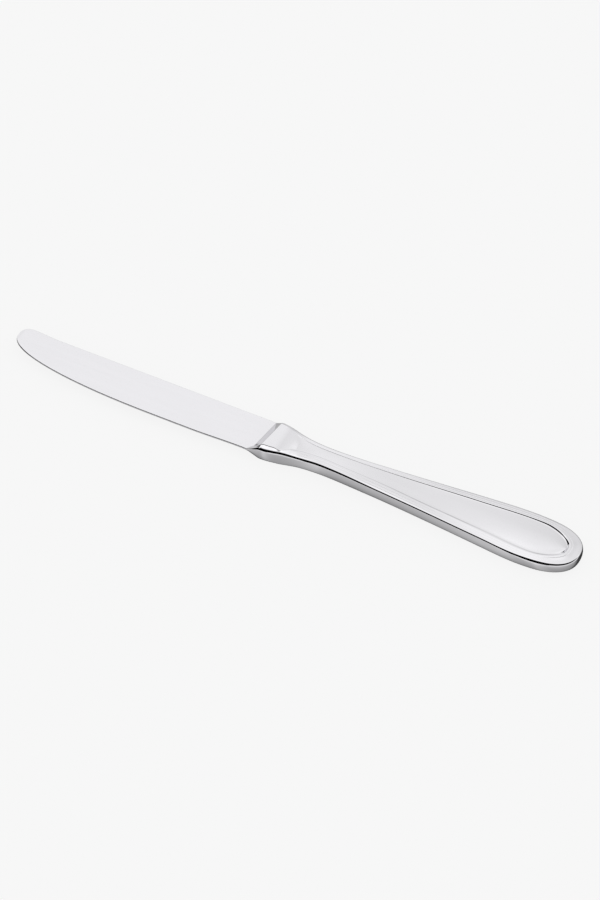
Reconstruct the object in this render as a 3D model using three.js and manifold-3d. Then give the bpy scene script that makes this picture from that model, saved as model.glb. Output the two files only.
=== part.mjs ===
// Hollow-handle dessert knife, lying on its side: tip at -X, butt at +X, back of the blade at +Y, cutting edge
// at -Y, resting on Z = 0. Millimetres. The knife is the same above and below its mid-plane.
import * as THREE from "three";
import { mergeVertices } from "three/addons/utils/BufferGeometryUtils.js";
import Module from "manifold-3d";

// Lengths along the knife
const bladeLength = 96.85;
const bolsterLength = 8.8;
const handleLength = 106.35;
const overallLength = bladeLength + bolsterLength + handleLength;
const tipX = -overallLength / 2;
const rampX = tipX + bladeLength;
const mouthX = rampX + bolsterLength;
const buttX = mouthX + handleLength;

// Outline of the blade: a nearly straight back, a blunt upswept nose and a long belly that ends in the heel
const spineHalf = 7.6;
const edgeHalf = 7.6;
const noseY = 4.2;
const noseLength = 4.4;
const noseFlatDepth = 0.08;
const noseRise = 0.5;
const noseRiseLength = 10;
const bellyLength = 58;
const bellyCurveShare = 2.2;
const bellyTipShare = 0.425;
const noseCurveShare = 2.3;

// Outline of the bolster and the handle, as half widths on the two sides of the axis
const spineFlareRun = 20;
const edgeFlareRun = 32;
const shoulderRun = 6.6;
const shoulderHalfSpine = 7.4;
const shoulderHalfEdge = 7.3;
const mouthHalfSpine = 6.3;
const mouthHalfEdge = 6.1;
const spineFlareSlopeShare = 0.27;
const edgeFlareSlopeShare = 0.17;
const spineShoulderSlopeShare = 0.09;
const edgeShoulderSlopeShare = 0.12;
const neckFromMouth = 14;
const neckHalf = 4.6;
const taperStartFromMouth = 31;
const taperStartHalf = 5.4;
const taperEndFromMouth = 74;
const taperEndHalf = 9.25;
const taperEaseShare = 0.95;
const buttRoundLength = 17.1;
const widestHalf = 10.15;
const buttCurveShare = 2.35;

// Thickness
const spineThickness = 1.5;
const noseThickness = 1.1;
const edgeThickness = 0.72;
const edgeBevelWidth = 1.5;
const bolsterHalfHeight = 3.3;
const bolsterRimHalf = 3.1;

// The ramp from the blade's face up to the bolster, and its curl along the cutting edge
const rampLength = 3.1;
const rampSkew = 2.4;
const rampCurlReach = 1.6;
const rampCurlLength = 5.8;
const rampCurlWidth = 3;
const rampEaseShare = 0.06;

// The border round the sunk panel: rounded rim, then three bands parted by two fine lines, and a low wall
const sideBulge = 0.16;
const rimRadius = 1.2;
const borderWidth = 3.1;
const lineDepth = 0.05;
const flankTilt = 78;
const lipTilt = 14;

// Sizes that change along the knife. Each pair is a place, as a share of the handle's length behind its mouth or
// of the bolster's length before it, and a share of the size that the curve is drawn for.
const rimHalfShares = [
  [-1, 0.968], [-0.68, 1], [-0.4, 1], [0, 0.887], [0.028, 0.806], [0.075, 0.79], [0.13, 0.8], [0.225, 0.8], [0.4, 0.705],
  [0.58, 0.652], [0.84, 0.629],
];
const crestHalfShares = [
  [-1, 0.988], [-0.45, 0.988], [-0.17, 0.94], [0.005, 0.879], [0.047, 0.855], [0.13, 0.833], [0.225, 0.824], [0.4, 0.788],
  [0.58, 0.758], [0.84, 0.721], [1, 0.727],
];
const panelHalfShares = [
  [-1, 1], [-0.45, 1], [-0.17, 0.945], [0.005, 0.879], [0.047, 0.83], [0.13, 0.81], [0.225, 0.8], [0.4, 0.74],
  [0.58, 0.688], [0.79, 0.65], [1, 0.57],
];
const rimRadiusShares = [[-1, 1], [0.02, 1.04], [0.09, 1.04], [0.17, 0.96], [0.28, 0.75], [0.84, 0.67], [0.9, 0.79], [1, 0.83]];
const spineBandShares = [
  [-1, 0.39], [-0.74, 0.48], [-0.41, 0.48], [-0.034, 0.52], [0.03, 0.77], [0.075, 0.84], [0.225, 0.87], [0.58, 0.97],
  [0.84, 1], [1, 1.42],
];
const edgeBandShares = [
  [-1, 0.36], [-0.8, 0.65], [-0.41, 0.6], [-0.045, 0.39], [0.019, 0.77], [0.05, 0.88], [0.225, 0.87], [0.58, 0.97],
  [0.84, 1], [1, 1.42],
];
// How deep the fine lines are along the handle
const lineShares = [[0.01, 0], [0.085, 1], [0.88, 1], [0.96, 0.25]];
// Across the border from the rounded rim in: the two fine lines, the top of the wall and its foot
const lineShare = 0.265;
const secondLineShare = 0.645;
const lineWidthShare = 0.03;
const wallShare = 0.97;
const wallFootShare = 1.03;

// Inside the handle
const shellWall = 0.8;
const clearance = 0.3;
const brazeThickness = 0.4;
const brazeLength = 2;
const spigotLength = 3;
const tangLength = 46;
const tangThickness = 1.8;
const tangHalfWidth = 1.9;
const tangEndHalfWidth = 1.3;
const tangNotchDepth = 0.5;
const tangNotchHalfLength = 1.6;
const tangNotchPlaces = [10, 20, 30];
const tangNoseLength = 2;
const overrun = 2;
const slopeStep = 0.25;

// How finely the curves are divided
const bladeSteps = 14;
const noseSteps = 7;
const bolsterSteps = 12;
const flareSteps = 7;
const handleSteps = 11;
const buttSteps = 10;
const tangNotchSteps = 4;
const tangNoseSteps = 3;
const rimSteps = 3;
const spigotSteps = 2;

const clamp01 = (t) => Math.min(1, Math.max(0, t));
const smooth = (t) => clamp01(t) ** 2 * (3 - 2 * clamp01(t));
const mix = (a, b, t) => a + (b - a) * t;

// A smooth curve through stations of place, value and slope
function through(stations) {
  return (x) => {
    const last = stations.length - 1;
    if (x <= stations[0].at) return stations[0].value;
    if (x >= stations[last].at) return stations[last].value;
    const i = stations.findIndex((s) => s.at > x) - 1;
    const [a, b] = [stations[i], stations[i + 1]];
    const run = b.at - a.at;
    const t = (x - a.at) / run;
    const bend = t * (1 - t) * (a.slope * (1 - t) - b.slope * t);
    return mix(a.value, b.value, t * t * (3 - 2 * t)) + run * bend;
  };
}

const station = (at, value, slope = 0) => ({ at, value, slope });

const neckX = mouthX + neckFromMouth;
const taperStartX = mouthX + taperStartFromMouth;
const taperEndX = mouthX + taperEndFromMouth;
const widestX = buttX - buttRoundLength;
const shoulderX = mouthX - shoulderRun;
const taperSlope = ((taperEndHalf - taperStartHalf) / (taperEndX - taperStartX)) * taperEaseShare;

const handleStations = [
  station(neckX, neckHalf),
  station(taperStartX, taperStartHalf, taperSlope),
  station(taperEndX, taperEndHalf, taperSlope),
  station(widestX, widestHalf),
];

const spineSide = through([
  station(mouthX - spineFlareRun, spineHalf),
  station(shoulderX, shoulderHalfSpine, -spineShoulderSlopeShare),
  station(mouthX, mouthHalfSpine, -spineFlareSlopeShare),
  ...handleStations,
]);

const edgeSide = through([
  station(mouthX - edgeFlareRun, edgeHalf),
  station(shoulderX, shoulderHalfEdge, -edgeShoulderSlopeShare),
  station(mouthX, mouthHalfEdge, -edgeFlareSlopeShare),
  ...handleStations,
]);

// A curve for a size along the bolster and the handle, with level turns at its highs and lows
function along(size, shares) {
  const points = shares.map(([place, share]) => ({
    at: mouthX + place * (place < 0 ? bolsterLength : handleLength),
    value: share * size,
  }));
  const rise = (a, b) => (b.value - a.value) / (b.at - a.at);
  return through(points.map((point, i) => {
    if (i === 0 || i === points.length - 1) return station(point.at, point.value);
    const [before, after] = [rise(points[i - 1], point), rise(point, points[i + 1])];
    const slope = before * after > 0 ? (2 * before * after) / (before + after) : 0;
    return station(point.at, point.value, slope);
  }));
}

// How much longer a cut square to the axis is than one square to a side of the outline
function slantOf(side, x) {
  const slope = (side(x + slopeStep) - side(x - slopeStep)) / (slopeStep + slopeStep);
  return Math.hypot(1, slope);
}

// The back of the blade near the nose, and the belly below it
function bladeBack(x) {
  const fromTip = x - tipX;
  const rise = noseRise * (1 - smooth((fromTip - noseLength) / noseRiseLength));
  const top = spineSide(x) + rise;
  if (fromTip >= noseLength) return top;
  const left = clamp01(1 - (fromTip + noseFlatDepth) / noseLength);
  return noseY + (top - noseY) * (1 - left ** noseCurveShare) ** (1 / noseCurveShare);
}

function bladeBelly(x) {
  const left = clamp01(1 - (x - tipX + noseFlatDepth) / bellyLength);
  const low = -edgeSide(x);
  return noseY - (noseY - low) * (1 - left ** bellyCurveShare) ** bellyTipShare;
}

// Half heights of the rim, of the wall's top and of the face inside it, and the border's other sizes
const rimHalf = along(bolsterRimHalf, rimHalfShares);
const crestHalf = along(bolsterHalfHeight, crestHalfShares);
const panelHalf = along(bolsterHalfHeight, panelHalfShares);
const roundingAt = along(rimRadius, rimRadiusShares);
const spineBand = along(borderWidth, spineBandShares);
const edgeBand = along(borderWidth, edgeBandShares);
const linesAt = along(1, lineShares);

// One side of a section of the bolster or the handle, from the seam on the mid-plane in to the panel. Each point
// has its distance in from the outline and its height above the mid-plane. The inset makes the faces inside the
// shells, and what fills them, from the same profile.
function borderProfile(x, side, inset = 0) {
  const rim = rimHalf(x) - inset;
  const full = roundingAt(x);
  const rounding = Math.min(full * (1 - inset / (inset + full)), rim);
  const bulge = sideBulge * (1 - inset / (inset + shellWall));
  const band = (side > 0 ? spineBand : edgeBand)(x) * (1 - inset / (inset + borderWidth + shellWall));
  const [steep, level] = [THREE.MathUtils.degToRad(flankTilt), THREE.MathUtils.degToRad(lipTilt)];
  const flank = rim - rounding * (Math.cos(level) - Math.cos(steep));
  const points = [{ inward: inset, height: 0 }, { inward: inset + bulge, height: flank }];
  for (let i = 1; i <= rimSteps; i++) {
    const tilt = mix(steep, level, i / rimSteps);
    points.push({
      inward: inset + bulge + rounding * (Math.sin(steep) - Math.sin(tilt)),
      height: flank + rounding * (Math.cos(tilt) - Math.cos(steep)),
    });
  }
  const start = rounding * (Math.sin(steep) - Math.sin(level));
  const width = Math.max(band - start, rounding);
  const crest = crestHalf(x) - inset;
  const lines = linesAt(x);
  const across = (share, down = 0) => ({
    inward: inset + bulge + start + width * share,
    height: mix(rim, crest, share / wallShare) - down,
  });
  for (const middle of [lineShare, secondLineShare]) {
    points.push(across(middle - lineWidthShare), across(middle, lineDepth * lines), across(middle + lineWidthShare));
  }
  points.push(across(wallShare), { ...across(wallFootShare), height: panelHalf(x) - inset });
  return points;
}

const profileCount = borderProfile(mouthX, 1).length;

// Closed surfaces, as triangles wound by the right-hand rule and turned the right way round at the end
function solidFrom(points, triangles) {
  const geometry = new THREE.BufferGeometry();
  geometry.setAttribute("position", new THREE.Float32BufferAttribute(points.flat(), 3));
  geometry.setIndex(triangles.flat());
  const merged = mergeVertices(geometry);
  const at = merged.getAttribute("position");
  const index = merged.getIndex().array;
  const kept = [];
  let volume = 0;
  const [a, b, c] = [new THREE.Vector3(), new THREE.Vector3(), new THREE.Vector3()];
  for (let i = 0; i < index.length; i += 3) {
    const [p, q, r] = [index[i], index[i + 1], index[i + 2]];
    if (p === q || q === r || r === p) continue;
    kept.push([p, q, r]);
    volume += a.fromBufferAttribute(at, p).dot(b.fromBufferAttribute(at, q).cross(c.fromBufferAttribute(at, r)));
  }
  merged.setIndex(kept.flatMap(([p, q, r]) => (volume < 0 ? [p, r, q] : [p, q, r])));
  return merged;
}

// Skins a row of closed rings that have as many points each, and closes both ends
function loft(rings) {
  const count = rings[0].length;
  const triangles = [];
  for (let i = 0; i + 1 < rings.length; i++) {
    for (let j = 0; j < count; j++) {
      const next = (j + 1) % count;
      const [a, b, c, d] = [i * count + j, i * count + next, (i + 1) * count + next, (i + 1) * count + j];
      triangles.push([a, b, c], [a, c, d]);
    }
  }
  for (const [start, turned] of [[0, true], [(rings.length - 1) * count, false]]) {
    // Each ring runs round from the seam on the back, over the top, to the seam on the edge side and back below,
    // so its points pair up across the mid-plane
    const half = count / 2;
    const fan = (p, q, r) => triangles.push(turned ? [start + r, start + q, start + p] : [start + p, start + q, start + r]);
    for (let j = 0; j < half; j++) {
      const [top, topNext] = [j, j + 1];
      const [low, lowNext] = [(count - j) % count, count - j - 1];
      if (j > 0) fan(low, top, topNext);
      if (topNext !== lowNext) fan(low, topNext, lowNext);
    }
  }
  return solidFrom(rings.flat(), triangles);
}

// A ring of a solid that is the same above and below the mid-plane, from its upper points
function ringFrom(x, upper) {
  const lower = upper.slice(1, -1).reverse();
  const place = (p, side) => [x, p.y, bolsterHalfHeight + side * p.height];
  return [...upper.map((p) => place(p, 1)), ...lower.map((p) => place(p, -1))];
}

// The upper points of a section of the handle body, from the seam on the spine side to the seam on the edge side
function bodySection(x, inset = 0) {
  const [spineSlant, edgeSlant] = [slantOf(spineSide, x), slantOf(edgeSide, x)];
  const spine = borderProfile(x, 1, inset).map((p) => ({ y: spineSide(x) - p.inward * spineSlant, height: p.height }));
  const edge = borderProfile(x, -1, inset).map((p) => ({ y: p.inward * edgeSlant - edgeSide(x), height: p.height }));
  return [...spine, ...edge.reverse()];
}

// The blade's half thickness: wedge from the back to the edge, with a narrow bevel at the edge
function bladeHalf(x, y) {
  const back = bladeBack(x);
  const belly = bladeBelly(x);
  const backHalf = mix(noseThickness, spineThickness, clamp01((x - tipX) / bladeLength)) / 2;
  const share = clamp01((y - belly) / Math.max(back - belly, edgeBevelWidth));
  const wedge = mix((edgeThickness + backHalf) / 2, backHalf, share);
  const bevel = clamp01(Math.min(y - belly, (x - tipX)) / edgeBevelWidth);
  return mix(edgeThickness / 2, wedge, smooth(bevel));
}

// A straight rise from 0 to 1 with short rounded ends
function eased(t) {
  const at = clamp01(t);
  const low = at ** 2 / (2 * rampEaseShare);
  const high = 1 - rampEaseShare - (1 - at) ** 2 / (2 * rampEaseShare);
  const straight = at - rampEaseShare / 2;
  const rise = at < rampEaseShare ? low : at > 1 - rampEaseShare ? high : straight;
  return rise / (1 - rampEaseShare);
}

// How far the ramp has risen at a place: 0 on the blade's face, 1 on the bolster
function rampRise(x, y) {
  const across = (y + edgeSide(x)) / (spineSide(x) + edgeSide(x));
  const curl = clamp01(1 - (y + edgeSide(x)) / rampCurlWidth) ** 2;
  const foot = rampX - rampSkew * (1 - across) - rampCurlReach * curl;
  return eased((x - foot) / mix(rampLength, rampLength + rampCurlLength, curl));
}

function bladeSection(x) {
  const body = bodySection(x);
  const back = bladeBack(x);
  const belly = bladeBelly(x);
  const last = body.length - 1;
  const onBody = smooth((x - rampX + rampCurlLength + rampSkew) / (rampCurlLength + rampSkew));
  return body.map((p, i) => {
    const side = i < profileCount ? 1 : -1;
    const k = side > 0 ? i : last - i;
    const start = side > 0 ? back : belly;
    const middle = (back + belly) / 2;
    const step = Math.max(0, k - 1) / profileCount;
    const plain = mix(start, middle, step);
    const y = mix(plain, p.y, onBody);
    const flat = bladeHalf(x, y) * (k === 0 ? 0 : 1);
    return { y, height: mix(flat, p.height, rampRise(x, y)) };
  });
}

// A section of the tang: a flat bar
function barSection(half, halfHeight) {
  const [top, seam] = [{ height: halfHeight }, { height: 0 }];
  return [{ y: half, ...seam }, { y: half, ...top }, { y: -half, ...top }, { y: -half, ...seam }];
}

function tangHalf(x, grown) {
  const fromMouth = x - mouthX;
  const plain = mix(tangHalfWidth, tangEndHalfWidth, clamp01(fromMouth / tangLength));
  const notch = tangNotchPlaces.reduce((deepest, place) => {
    const near = clamp01(1 - Math.abs(fromMouth - spigotLength - place) / tangNotchHalfLength);
    return Math.max(deepest, tangNotchDepth * smooth(near));
  }, 0);
  const left = clamp01(1 - (tangLength - fromMouth) / tangNoseLength);
  const nose = Math.sqrt(1 - (left * (1 - tangNoseLength / tangLength)) ** 2);
  return (plain - notch) * nose + grown;
}

const spaced = (from, to, steps) => Array.from({ length: steps + 1 }, (_, i) => mix(from, to, i / steps));

function tangPlaces(startX) {
  const notches = tangNotchPlaces.flatMap((place) => {
    const middle = mouthX + spigotLength + place;
    return spaced(middle - tangNotchHalfLength, middle + tangNotchHalfLength, tangNotchSteps);
  });
  const endX = mouthX + tangLength;
  return [startX, ...notches, ...spaced(endX - tangNoseLength, endX, tangNoseSteps)];
}

function forging() {
  const rings = [];
  const noseStart = tipX + noseLength;
  for (let i = 0; i < noseSteps; i++) {
    const x = mix(noseStart, tipX, Math.cos(((i / noseSteps) * Math.PI) / 2));
    rings.push(ringFrom(x, bladeSection(x)));
  }
  const bladeEnd = rampX - rampSkew - rampCurlLength;
  for (const x of spaced(noseStart, bladeEnd, bladeSteps)) rings.push(ringFrom(x, bladeSection(x)));
  for (const x of spaced(bladeEnd, rampX + rampLength, bolsterSteps).slice(1)) {
    rings.push(ringFrom(x, bladeSection(x)));
  }
  for (const x of spaced(rampX + rampLength, mouthX, bolsterSteps / 2).slice(1)) {
    rings.push(ringFrom(x, bladeSection(x)));
  }
  const spigotInset = shellWall + clearance + brazeThickness + clearance;
  for (const x of spaced(mouthX, mouthX + spigotLength, spigotSteps)) {
    rings.push(ringFrom(x, bodySection(x, spigotInset)));
  }
  const bar = (x) => ringFrom(x, barSection(tangHalf(x, 0), tangThickness / 2));
  const tang = loft(tangPlaces(mouthX + spigotLength / 2).map(bar));
  return combined(loft(rings), "add", tang);
}

// The handle's plan outline on one side: places along the axis, then round the butt to its end
function outlinePlaces(startX) {
  const stops = [...spaced(startX, neckX, flareSteps), ...spaced(neckX, widestX, handleSteps).slice(1)];
  const places = stops.map((x) => ({ x, spine: spineSide(x), edge: edgeSide(x), lean: 0 }));
  for (let i = 1; i <= buttSteps; i++) {
    const turn = ((i / buttSteps) * Math.PI) / 2;
    const x = widestX + buttRoundLength * Math.sin(turn) ** (2 / buttCurveShare);
    const half = i === buttSteps ? 0 : widestHalf * Math.cos(turn) ** (2 / buttCurveShare);
    places.push({ x, spine: half, edge: half, lean: turn });
  }
  return places;
}

// A point of the handle's surface at a place of the outline: moved in from the outline by the profile's distance,
// square to the outline round the butt
function shiftedIn(place, inward, side) {
  const half = side > 0 ? place.spine : place.edge;
  const slant = slantOf(side > 0 ? spineSide : edgeSide, place.x);
  if (place.lean === 0) return { x: place.x, y: side * (half - inward * slant) };
  const along = Math.sin(place.lean) ** (2 - 2 / buttCurveShare) / buttRoundLength;
  const out = Math.cos(place.lean) ** (2 - 2 / buttCurveShare) / widestHalf;
  const long = Math.hypot(along, out);
  return { x: place.x - (inward * along) / long, y: side * (half - (inward * out) / long) };
}

// The upper skin of the handle, inset by a wall, as rows of points: one row for each place of the outline, from
// the mouth on the spine side round the butt to the mouth on the edge side
function skinRows(startX, inset, side, chosen = (profile) => profile) {
  const places = outlinePlaces(startX);
  const row = (place, way) => chosen(borderProfile(place.x, way, inset)).map((p) => {
    const at = shiftedIn(place, p.inward, way);
    return [at.x, at.y, bolsterHalfHeight + side * p.height];
  });
  const out = places.map((place) => row(place, 1));
  const back = places.slice(0, -1).map((place) => row(place, -1));
  return [...out, ...back.reverse()];
}

// Triangles of a skin: the border's rows, and the panel that joins each row to its mirror image
function skinTriangles(rows, first, turned) {
  const count = rows[0].length;
  const triangles = [];
  const add = (p, q, r) => triangles.push(turned ? [first + r, first + q, first + p] : [first + p, first + q, first + r]);
  for (let i = 0; i + 1 < rows.length; i++) {
    for (let k = 0; k + 1 < count; k++) {
      const [a, b, c, d] = [i * count + k, i * count + k + 1, (i + 1) * count + k + 1, (i + 1) * count + k];
      add(a, c, b);
      add(a, d, c);
    }
  }
  const inner = (i) => i * count + count - 1;
  const last = rows.length - 1;
  for (let i = 0; i < last / 2; i++) {
    add(inner(i), inner(i + 1), inner(last - i));
    if (i + 1 < last - i - 1) add(inner(i + 1), inner(last - i - 1), inner(last - i));
  }
  return triangles;
}

// Joins two skins that have as many rows, across the mouth and, where they are a wall apart, along the seam
function closingTriangles(rows, second, alongSeam) {
  const count = rows[0].length;
  const last = rows.length - 1;
  const triangles = [];
  const strip = (a, b) => triangles.push([b, a, second + a], [b, second + a, second + b]);
  for (let k = 0; k + 1 < count; k++) {
    strip(k + 1, k);
    strip(last * count + k, last * count + k + 1);
  }
  strip(last * count + count - 1, count - 1);
  for (let i = 0; alongSeam && i < last; i++) strip(i * count, (i + 1) * count);
  return triangles;
}

function handleShell(side) {
  const outer = skinRows(mouthX, 0, side);
  const inner = skinRows(mouthX, shellWall, side);
  const second = outer.length * profileCount;
  const triangles = [
    ...skinTriangles(outer, 0, false),
    ...skinTriangles(inner, second, true),
    ...closingTriangles(outer, second, true),
  ];
  return solidFrom([...outer.flat(), ...inner.flat()], triangles);
}

// A solid bounded by an upper and a lower skin, closed across the mouth
function filledBody(startX, inset, chosen) {
  const upper = skinRows(startX, inset, 1, chosen);
  const lower = skinRows(startX, inset, -1, chosen);
  const second = upper.length * upper[0].length;
  const triangles = [
    ...skinTriangles(upper, 0, false),
    ...skinTriangles(lower, second, true),
    ...closingTriangles(upper, second, false),
  ];
  return solidFrom([...upper.flat(), ...lower.flat()], triangles);
}

const wasm = await Module();
wasm.setup();

function manifoldOf(geometry) {
  const vertProperties = new Float32Array(geometry.getAttribute("position").array);
  const triVerts = new Uint32Array(geometry.getIndex().array);
  return new wasm.Manifold(new wasm.Mesh({ numProp: 3, vertProperties, triVerts }));
}

// A body with another added to it or subtracted from it
function combined(body, operation, other) {
  const mesh = manifoldOf(body)[operation](manifoldOf(other)).getMesh();
  const geometry = new THREE.BufferGeometry();
  geometry.setAttribute("position", new THREE.BufferAttribute(new Float32Array(mesh.vertProperties), 3));
  geometry.setIndex(new THREE.BufferAttribute(new Uint32Array(mesh.triVerts), 1));
  return geometry;
}

// The cement: the space inside the shells behind the spigot, less the pocket that the tang stands in. Its border
// is plain, from the seam to the flank, the rim and the panel.
function fillerCore() {
  const startX = mouthX + spigotLength + clearance;
  const corners = (profile) => [0, 1, 1 + rimSteps, profileCount - 1].map((k) => profile[k]);
  const body = filledBody(startX, shellWall + clearance, corners);
  const pocketHalf = tangThickness / 2 + clearance;
  const bar = (x) => ringFrom(x, barSection(tangHalf(x, clearance), pocketHalf));
  const places = [...tangPlaces(startX - overrun), mouthX + tangLength + clearance];
  return combined(body, "subtract", loft(places.map(bar)));
}

// The braze: a ring round the spigot, against the bolster's shoulder and inside the shells' mouth
function brazeRing() {
  const outerInset = shellWall + clearance;
  const innerInset = outerInset + brazeThickness;
  const sleeve = (from, to, inset) => {
    return loft(spaced(from, to, spigotSteps).map((x) => ringFrom(x, bodySection(x, inset))));
  };
  const endX = mouthX + brazeLength;
  const bore = sleeve(mouthX - overrun, endX + overrun, innerInset);
  return combined(sleeve(mouthX, endX, outerInset), "subtract", bore);
}

const steel = { color: 0xd6d6d9, roughness: 0.12, metalness: 1 };

function piece(name, geometry, finish) {
  const shown = geometry.toNonIndexed();
  shown.computeVertexNormals();
  const mesh = new THREE.Mesh(shown, new THREE.MeshStandardMaterial(finish));
  mesh.name = name;
  return mesh;
}

const group = new THREE.Group();
group.add(piece("blade", forging(), steel));
group.add(piece("handle_front_shell", handleShell(1), steel));
group.add(piece("handle_back_shell", handleShell(-1), steel));
group.add(piece("mouth_braze", brazeRing(), { color: 0xc9b36a, roughness: 0.4, metalness: 1 }));
group.add(piece("handle_filler", fillerCore(), { color: 0xb9b4a8, roughness: 0.9, metalness: 0 }));

export default group;
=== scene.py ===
import math

import bpy
import numpy as np
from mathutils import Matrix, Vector


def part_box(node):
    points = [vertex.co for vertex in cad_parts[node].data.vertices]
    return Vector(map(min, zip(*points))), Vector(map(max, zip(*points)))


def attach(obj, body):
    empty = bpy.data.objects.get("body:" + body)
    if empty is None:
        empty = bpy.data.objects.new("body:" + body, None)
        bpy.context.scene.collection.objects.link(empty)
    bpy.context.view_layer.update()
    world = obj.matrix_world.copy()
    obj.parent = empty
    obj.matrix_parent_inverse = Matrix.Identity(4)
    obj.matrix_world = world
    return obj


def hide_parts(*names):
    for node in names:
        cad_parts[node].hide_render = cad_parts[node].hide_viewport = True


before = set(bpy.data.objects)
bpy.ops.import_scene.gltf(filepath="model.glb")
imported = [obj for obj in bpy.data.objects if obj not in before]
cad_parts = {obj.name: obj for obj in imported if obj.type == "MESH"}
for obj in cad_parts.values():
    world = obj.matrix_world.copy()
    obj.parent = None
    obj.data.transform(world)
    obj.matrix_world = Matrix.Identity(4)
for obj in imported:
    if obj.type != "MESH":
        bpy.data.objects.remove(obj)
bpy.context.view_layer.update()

# Millimetres in metres, and the frame's own places in millimetres
MM = 0.001


def corners(node):
    """The low and the high corner of a node's box, in millimetres."""
    return [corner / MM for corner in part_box(node)]


blade_low, _ = corners("blade")
shell_low, shell_high = corners("handle_front_shell")
TIP_X = blade_low.x
MOUTH_X = shell_low.x
BUTT_X = shell_high.x
MID_Z = shell_low.z
WIDEST_HALF = (shell_high.y - shell_low.y) / 2

# Outline of the blade
BOLSTER_LENGTH = 8.8
RAMP_X = MOUTH_X - BOLSTER_LENGTH
SPINE_HALF = 7.6
EDGE_HALF = 7.6
SPINE_STRAIGHT_TO_MOUTH = 20.0
EDGE_STRAIGHT_TO_MOUTH = 34.0
HEEL_TO_MOUTH = 14.5
HEEL_HALF = 7.08
NOSE_Y = 4.2
NOSE_LENGTH = 4.4
NOSE_FLAT = 0.08
NOSE_RISE = 0.5
NOSE_RISE_LENGTH = 10.0
NOSE_CURVE = 2.3
BELLY_LENGTH = 58.0
BELLY_CURVE = 2.2
BELLY_TIP = 0.425

# Thickness of the blade, and the ramp up to the bolster
BLADE_BACK_HALF = 0.75
BLADE_NOSE_HALF = 0.55
BLADE_EDGE_HALF = 0.36
BLADE_EDGE_ROUND = 0.25
BEVEL_WIDTH = 1.5
RAMP_LENGTH = 3.1
RAMP_SKEW = 2.4
RAMP_EASE = 0.06
CURL_REACH = 2.65
CURL_LENGTH = 3.9
CURL_WIDTH = 3.0
CURL_EASE = 0.24
CURL_FADE = 2

# Outline of the bolster and the handle: places along it, and the half width of each side there
SHOULDER_X = MOUTH_X - 6.6
SHOULDER_SPINE_HALF = 7.4
SHOULDER_EDGE_HALF = 7.3
MOUTH_SPINE_HALF = 6.3
MOUTH_EDGE_HALF = 6.18
NECK_X = MOUTH_X + 14.0
NECK_HALF = 4.6
TAPER_START_X = MOUTH_X + 31.0
TAPER_START_HALF = 5.4
TAPER_END_X = MOUTH_X + 74.0
TAPER_END_HALF = 9.25
TAPER_END_SPINE_HALF = 9.38
TAPER_END_EDGE_HALF = 8.97
WIDEST_X = BUTT_X - 17.1
BUTT_CURVE = 2.35
TAPER_SLOPE = (TAPER_END_HALF - TAPER_START_HALF) / (TAPER_END_X - TAPER_START_X)

# Spigot and tang, inside the handle
SPIGOT_INSET = 1.8
SPIGOT_LENGTH = 3.0
TANG_LENGTH = 46.0
TANG_HALF_THICKNESS = 0.9
TANG_HALF_WIDTH = 1.9
TANG_END_HALF_WIDTH = 1.3
TANG_ROUND = 0.2
TANG_NOSE = 2.0
NOTCH_DEPTH = 0.5
NOTCH_HALF_LENGTH = 1.6
NOTCH_PLACES = (10.0, 20.0, 30.0)

# The border of the handle
SIDE_BULGE = 0.16
FLANK_LEAN = math.radians(12)
LIP_TILT = math.radians(14)
SHELL_WALL = 0.8

# How finely the pieces are divided, how close points are joined, and where an edge stays sharp
FLANK_STEPS = 5
LIP_STEPS = 10
PANEL_STEPS = 16
MOUTH_ROWS = 61
TAPER_ROWS = 101
BUTT_ROWS = 80
NOSE_RINGS = 24
BLADE_RINGS = 90
BOLSTER_RINGS = 240
SPIGOT_RINGS = 5
TANG_RINGS = 90
TANG_NOSE_RINGS = 12
RINGS_BEFORE_CURL = 1.0
SPREAD_POWER = 1.6
JOIN_DISTANCE = 0.002
SHARP_ANGLE = math.radians(50)


def clamp(t):
    return np.clip(t, 0.0, 1.0)


def smooth(t):
    t = clamp(t)
    return t * t * (3 - 2 * t)


def mix(a, b, t):
    return a + (b - a) * t


def through(*stations):
    """A smooth curve through stations of place, value and slope."""
    at, value, slope = [np.array(column, float) for column in zip(*stations)]

    def curve(x):
        x = np.clip(x, at[0], at[-1])
        i = np.clip(np.searchsorted(at, x, side="right") - 1, 0, len(at) - 2)
        run = at[i + 1] - at[i]
        t = (x - at[i]) / run
        bend = t * (1 - t) * (slope[i] * (1 - t) - slope[i + 1] * t)
        return mix(value[i], value[i + 1], smooth(t)) + run * bend

    return curve


def eased_through(*stations):
    """The same curve with its slopes taken from the stations on either side."""
    made = []
    for i, (x, value) in enumerate(stations):
        slope = 0.0
        if 0 < i < len(stations) - 1:
            before, after = stations[i - 1], stations[i + 1]
            left = (value - before[1]) / (x - before[0])
            right = (after[1] - value) / (after[0] - x)
            slope = 0.0 if left * right <= 0 else 2 * left * right / (left + right)
        made.append((x, value, slope))
    return through(*made)


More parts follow.
